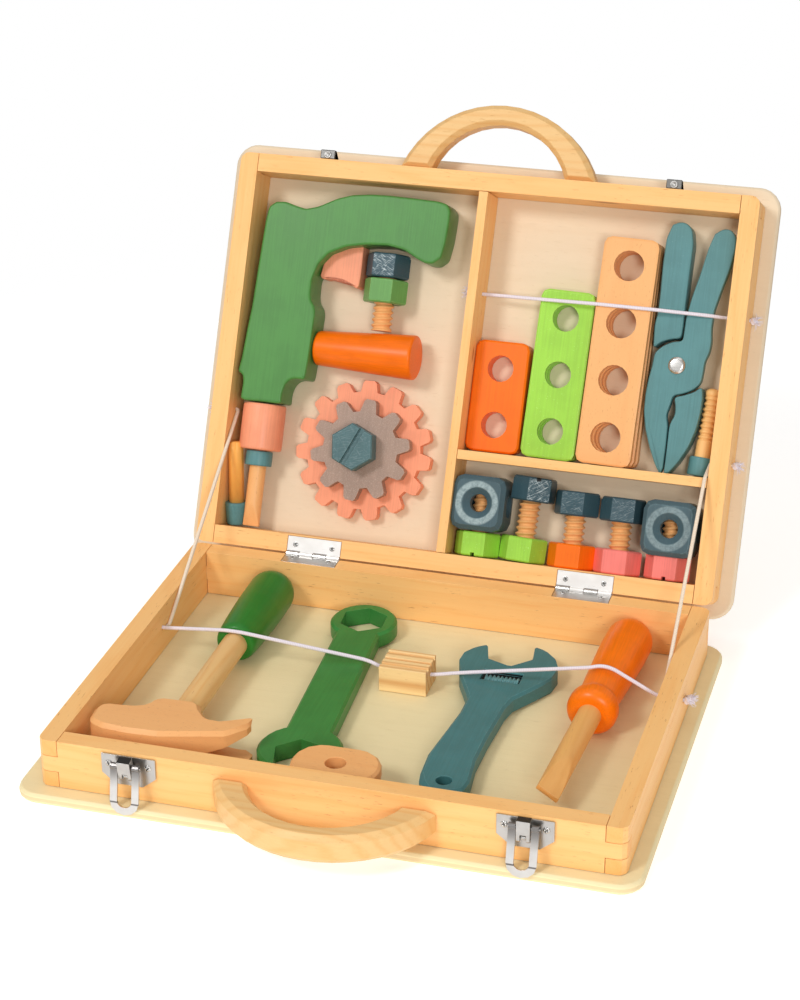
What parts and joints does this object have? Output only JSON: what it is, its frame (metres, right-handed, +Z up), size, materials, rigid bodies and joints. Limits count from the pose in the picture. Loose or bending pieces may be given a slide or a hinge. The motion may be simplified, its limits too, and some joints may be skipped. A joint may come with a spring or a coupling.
{
  "type": "toy tool box",
  "caption": "Hinged wooden tool case for a child, both trays filled with wooden play tools, bolts, nuts, gears and bars held by elastic cords.",
  "frame": {"origin": "centre of the underside of the lower panel, on what the case stands on", "axes": "+X to the viewer's right along the hinge line, +Y from the front handle to the raised lid, +Z up"},
  "size_m": [0.306, 0.3871, 0.2579],
  "materials": {
    "ply_panel": "sanded pale plywood, clear matt",
    "pine": "planed pine, sanded edges, clear matt",
    "nickel_steel": "satin nickel plate",
    "white_cord": "plaited elastic",
    "drill_green_paint": "thin satin paint over wood",
    "orange_paint": "thin satin paint over wood",
    "pink_paint": "thin satin paint over wood",
    "grey_paint": "thin stain over wood",
    "teal_paint": "thin satin paint over wood",
    "tool_green_paint": "thin satin paint over wood",
    "bright_green_paint": "thin satin paint over wood",
    "beech": "turned and sanded hardwood"
  },
  "bodies": {
    "case": {"base_front_board": "pine", "base_back_board": "pine", "base_left_board": "pine", "base_right_board": "pine", "base_handle": "pine", "base_panel": "ply_panel", "base_elastic": "white_cord", "left_hinge_base_leaf": "nickel_steel", "right_hinge_base_leaf": "nickel_steel", "left_latch_plate": "nickel_steel", "right_latch_plate": "nickel_steel"},
    "lid": {"lid_panel": "ply_panel", "lid_front_board": "pine", "lid_back_board": "pine", "lid_left_board": "pine", "lid_right_board": "pine", "lid_handle": "pine", "lid_divider": "pine", "lid_shelf": "pine", "lid_elastic": "white_cord", "left_hinge_lid_leaf": "nickel_steel", "right_hinge_lid_leaf": "nickel_steel", "left_keeper": "nickel_steel", "right_keeper": "nickel_steel", "left_stay_cord": "white_cord", "right_stay_cord": "white_cord"},
    "right_bail": {"right_latch_bail": "nickel_steel"},
    "right_lever": {"right_latch_lever": "nickel_steel"},
    "left_bail": {"left_latch_bail": "nickel_steel"},
    "left_lever": {"left_latch_lever": "nickel_steel"},
    "hammer": {"hammer_head": "beech", "hammer_handle": "tool_green_paint"},
    "ring_wrench": {"ring_wrench": "tool_green_paint"},
    "oval_plate": {"oval_plate": "beech"},
    "adjustable_wrench": {"adjustable_wrench": "teal_paint"},
    "screwdriver": {"screwdriver": "orange_paint"},
    "cord_block": {"cord_block": "pine"},
    "drill": {"drill_body": "drill_green_paint", "drill_trigger": "pink_paint"},
    "spare_bit": {"spare_bit": "beech"},
    "threaded_peg": {"threaded_peg": "beech"},
    "loose_bolt": {"loose_bolt": "teal_paint"},
    "tapered_cylinder": {"tapered_cylinder": "orange_paint"},
    "gear_bolt": {"gear_bolt": "teal_paint"},
    "orange_bar": {"orange_bar": "orange_paint"},
    "green_bars": {"green_bar_stack": "bright_green_paint"},
    "wood_bars": {"wood_bar_stack": "beech"},
    "pliers": {"pliers_left_grip": "teal_paint"},
    "left_cube": {"left_cube": "teal_paint", "left_cube_bolt": "teal_paint"},
    "right_cube": {"right_cube": "teal_paint", "right_cube_bolt": "teal_paint"},
    "bolt_1": {"bolt_1": "teal_paint"},
    "bolt_2": {"bolt_2": "teal_paint"},
    "bolt_3": {"bolt_3": "teal_paint"},
    "drill_chuck": {"drill_chuck": "pink_paint"},
    "large_gear": {"large_gear": "pink_paint"},
    "small_gear": {"small_gear": "grey_paint"},
    "loose_nut": {"loose_nut": "tool_green_paint"},
    "pliers_other_half": {"pliers_right_grip": "teal_paint"}
  },
  "joints": [
    {"name": "lid_hinge", "type": "hinge", "parent": "case", "child": "lid", "pos_m": [0, 0.1096, 0.03165], "axis": [-1, 0, 0], "range_deg": [-116.4, 0], "deforming": ["left_stay_cord", "right_stay_cord"]},
    {"name": "right_bail_turn", "type": "hinge", "parent": "right_lever", "child": "right_bail", "pos_m": [0.0975, -0.113, 0.0267], "axis": [-1, 0, 0], "range_deg": [0, 330]},
    {"name": "right_lever_turn", "type": "hinge", "parent": "case", "child": "right_lever", "pos_m": [0.0975, -0.113, 0.0212], "axis": [1, 0, 0], "range_deg": [0, 165]},
    {"name": "left_bail_turn", "type": "hinge", "parent": "left_lever", "child": "left_bail", "pos_m": [-0.0975, -0.11414, 0.02658], "axis": [-1, 0, 0], "range_deg": [0, 300]},
    {"name": "left_lever_turn", "type": "hinge", "parent": "case", "child": "left_lever", "pos_m": [-0.0975, -0.113, 0.0212], "axis": [1, 0, 0], "range_deg": [0, 150]},
    {"name": "hammer_lift", "type": "slide", "parent": "case", "child": "hammer", "axis": [0, 0, 1], "range_m": [0, 0.03], "deforming": ["base_elastic"]},
    {"name": "ring_wrench_lift", "type": "slide", "parent": "case", "child": "ring_wrench", "axis": [0, 0, 1], "range_m": [0, 0.03], "deforming": ["base_elastic"]},
    {"name": "oval_plate_lift", "type": "slide", "parent": "ring_wrench", "child": "oval_plate", "axis": [0, 0, 1], "range_m": [0, 0.03]},
    {"name": "adjustable_wrench_lift", "type": "slide", "parent": "case", "child": "adjustable_wrench", "axis": [0, 0, 1], "range_m": [0, 0.03], "deforming": ["base_elastic"]},
    {"name": "screwdriver_lift", "type": "slide", "parent": "case", "child": "screwdriver", "axis": [0, -0.5, 0.866], "range_m": [0, 0.03], "deforming": ["base_elastic"]},
    {"name": "block_slide", "type": "slide", "parent": "case", "child": "cord_block", "axis": [1, 0, 0], "range_m": [0, 0.008], "deforming": ["base_elastic"]},
    {"name": "drill_lift", "type": "slide", "parent": "lid", "child": "drill", "axis": [0, -0.8957, 0.4446], "range_m": [0, 0.03]},
    {"name": "spare_bit_lift", "type": "slide", "parent": "lid", "child": "spare_bit", "axis": [0, -0.8957, 0.4446], "range_m": [0, 0.03]},
    {"name": "threaded_peg_lift", "type": "slide", "parent": "lid", "child": "threaded_peg", "axis": [0, -0.8957, 0.4446], "range_m": [0, 0.03]},
    {"name": "loose_bolt_lift", "type": "slide", "parent": "lid", "child": "loose_bolt", "axis": [0, -0.8957, 0.4446], "range_m": [0, 0.03]},
    {"name": "tapered_cylinder_lift", "type": "slide", "parent": "lid", "child": "tapered_cylinder", "axis": [0, -0.8957, 0.4446], "range_m": [0, 0.03]},
    {"name": "gear_bolt_lift", "type": "slide", "parent": "lid", "child": "gear_bolt", "axis": [0, -0.8957, 0.4446], "range_m": [0, 0.03]},
    {"name": "orange_bar_lift", "type": "slide", "parent": "lid", "child": "orange_bar", "axis": [0, -0.8957, 0.4446], "range_m": [0, 0.03]},
    {"name": "green_bars_lift", "type": "slide", "parent": "lid", "child": "green_bars", "axis": [0, -0.8957, 0.4446], "range_m": [0, 0.03], "deforming": ["lid_elastic"]},
    {"name": "wood_bars_lift", "type": "slide", "parent": "lid", "child": "wood_bars", "axis": [0, -0.8957, 0.4446], "range_m": [0, 0.03], "deforming": ["lid_elastic"]},
    {"name": "pliers_lift", "type": "slide", "parent": "lid", "child": "pliers", "axis": [0, -0.8957, 0.4446], "range_m": [0, 0.03], "deforming": ["lid_elastic"]},
    {"name": "left_cube_lift", "type": "slide", "parent": "lid", "child": "left_cube", "axis": [0, -0.8957, 0.4446], "range_m": [0, 0.03]},
    {"name": "right_cube_lift", "type": "slide", "parent": "lid", "child": "right_cube", "axis": [0, -0.8957, 0.4446], "range_m": [0, 0.03]},
    {"name": "bolt_1_lift", "type": "slide", "parent": "lid", "child": "bolt_1", "axis": [0, -0.8957, 0.4446], "range_m": [0, 0.03]},
    {"name": "bolt_2_lift", "type": "slide", "parent": "lid", "child": "bolt_2", "axis": [0, -0.8957, 0.4446], "range_m": [0, 0.03]},
    {"name": "bolt_3_lift", "type": "slide", "parent": "lid", "child": "bolt_3", "axis": [0, -0.8957, 0.4446], "range_m": [0, 0.03]},
    {"name": "chuck_turn", "type": "hinge", "parent": "drill", "child": "drill_chuck", "pos_m": [-0.1183, 0.15784, 0.09769], "axis": [0, 0.4446, 0.8957], "continuous": true},
    {"name": "large_gear_turn", "type": "hinge", "parent": "gear_bolt", "child": "large_gear", "pos_m": [-0.06, 0.15665, 0.07662], "axis": [0, -0.8957, 0.4446], "continuous": true},
    {"name": "small_gear_turn", "type": "hinge", "parent": "gear_bolt", "child": "small_gear", "pos_m": [-0.06, 0.15038, 0.07973], "axis": [0, -0.8957, 0.4446], "continuous": true},
    {"name": "nut_slide", "type": "slide", "parent": "loose_bolt", "child": "loose_nut", "axis": [0, -0.4446, -0.8957], "range_m": [0, 0.013]},
    {"name": "pliers_turn", "type": "hinge", "parent": "pliers", "child": "pliers_other_half", "pos_m": [0.1095, 0.18278, 0.136], "axis": [0, 0.8957, -0.4446], "range_deg": [0, 1.2], "deforming": ["lid_elastic"]}
  ],
  "couplings": [
    {"joint": "left_bail_turn", "follows": "left_lever_turn", "ratio": 2},
    {"joint": "right_bail_turn", "follows": "right_lever_turn", "ratio": 2}
  ]
}
